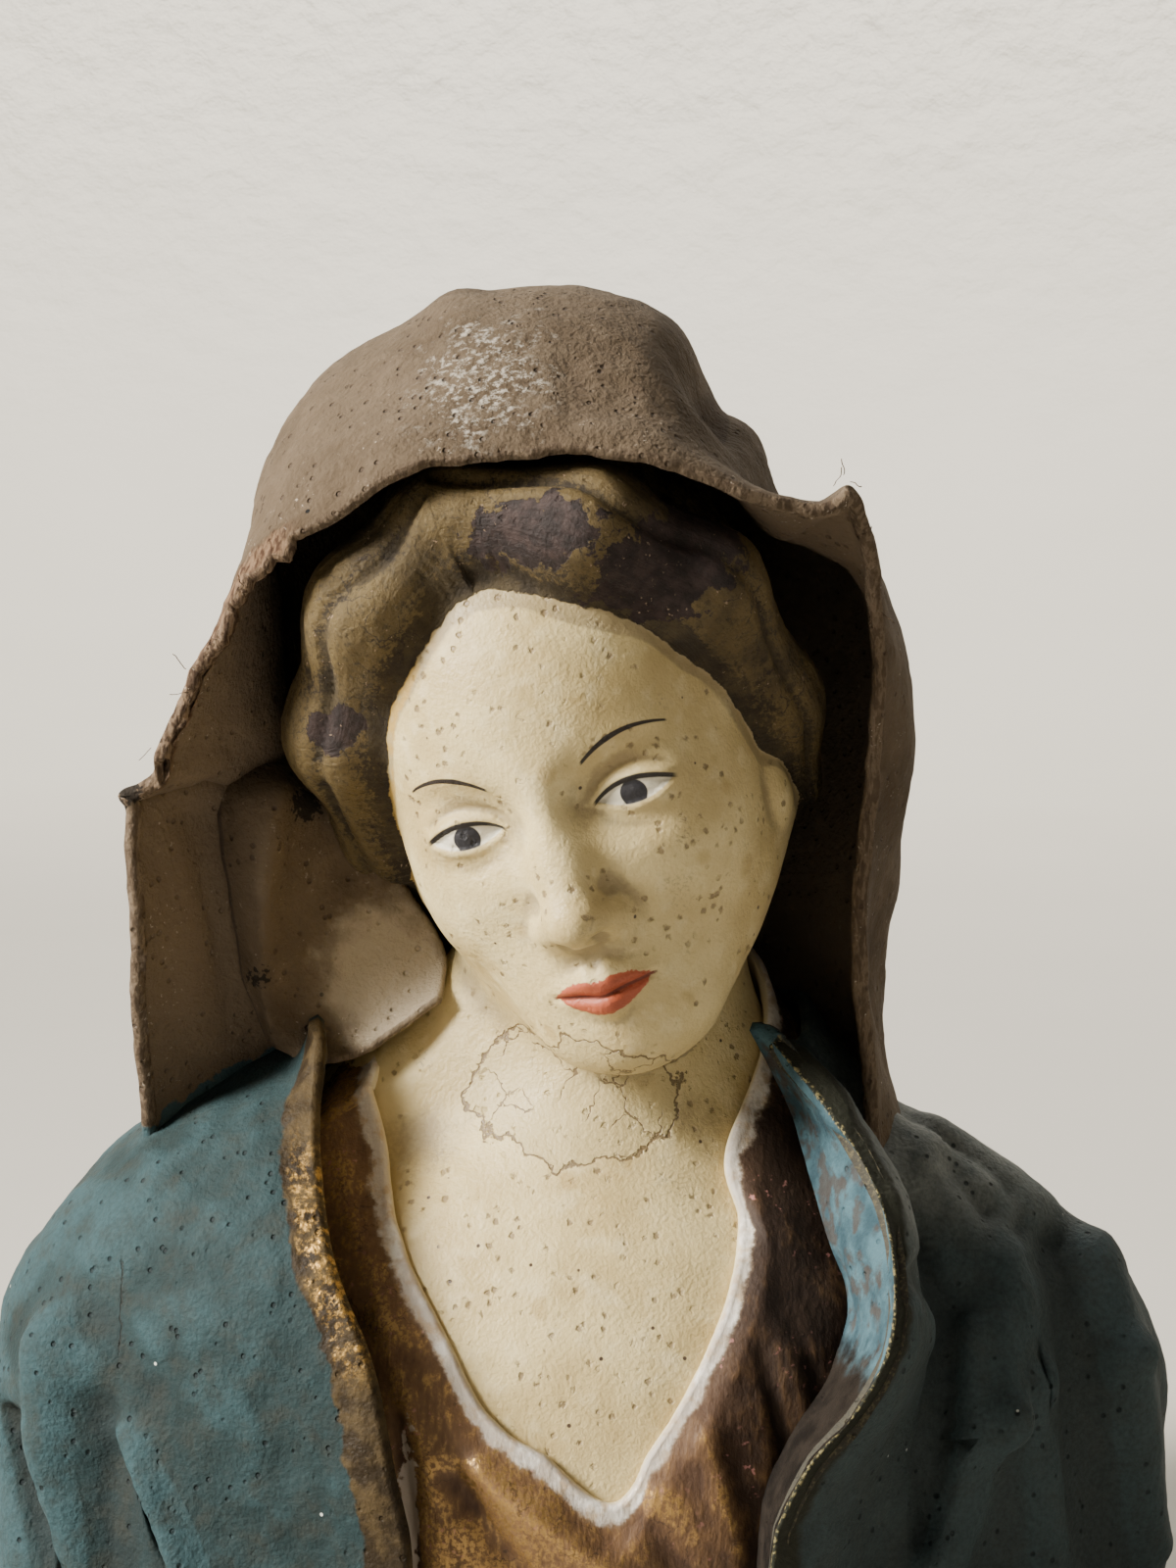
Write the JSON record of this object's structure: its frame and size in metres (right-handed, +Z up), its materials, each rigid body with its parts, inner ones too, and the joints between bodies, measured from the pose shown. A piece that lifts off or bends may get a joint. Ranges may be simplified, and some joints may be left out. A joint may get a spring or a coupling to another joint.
{
  "type": "madonna figurine bust",
  "caption": "Bust of a bowed, veiled madonna with a low-necked robe, an open mantle and a hooded veil, cut flat below to stand on its underside.",
  "frame": {"origin": "on the flat underside, under the middle of the chest", "axes": "+Z up, -Y the way the face and the open front of the mantle look, +X to the viewer's right"},
  "size_m": [0.1153, 0.0653, 0.1272],
  "materials": {
    "painted_terracotta": "satin",
    "robe_cloth": "satin",
    "mantle_cloth": "satin",
    "veil_cloth": "matt"
  },
  "bodies": {
    "root": {"head_and_chest": "painted_terracotta", "robe": "robe_cloth", "mantle": "mantle_cloth", "veil": "veil_cloth"}
  },
  "joints": []
}
